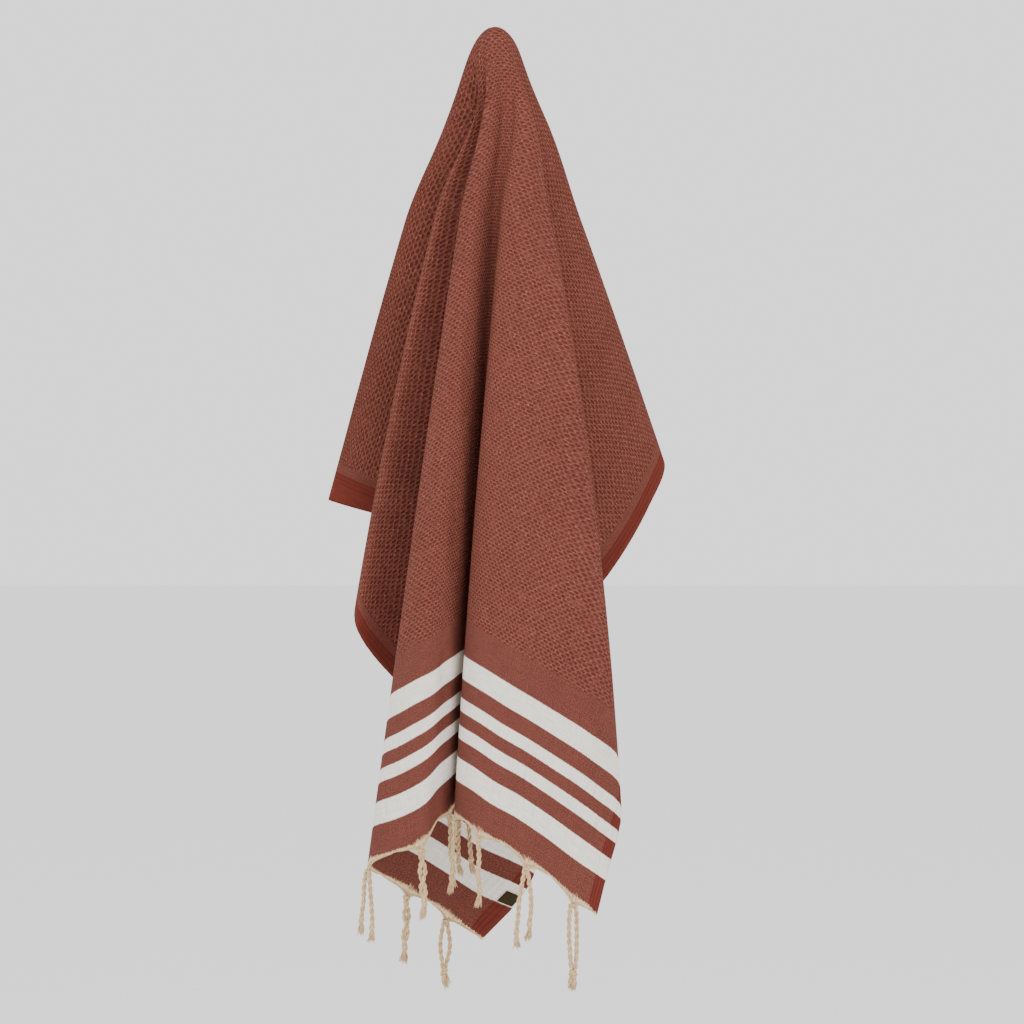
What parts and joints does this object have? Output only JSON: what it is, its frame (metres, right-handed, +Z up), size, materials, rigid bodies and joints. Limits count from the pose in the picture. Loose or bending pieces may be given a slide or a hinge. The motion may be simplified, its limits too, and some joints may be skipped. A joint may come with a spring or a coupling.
{
  "type": "hanging hammam towel",
  "caption": "Hammam towel hanging in deep folds from one point, with striped ends, knotted fringes and a plain side label.",
  "frame": {"origin": "the hang point, under the top of the cloth", "axes": "+Z up, -Y to the viewer of the front folds, +X to the viewer's right"},
  "size_m": [0.358, 0.4479, 1.029],
  "materials": {
    "rust_cotton": "matte",
    "cream_cord": "matte",
    "olive_tape": "matte"
  },
  "bodies": {
    "root": {"towel_cloth": "rust_cotton", "fringe_front": "cream_cord", "fringe_rear": "cream_cord", "label": "olive_tape"}
  },
  "joints": []
}
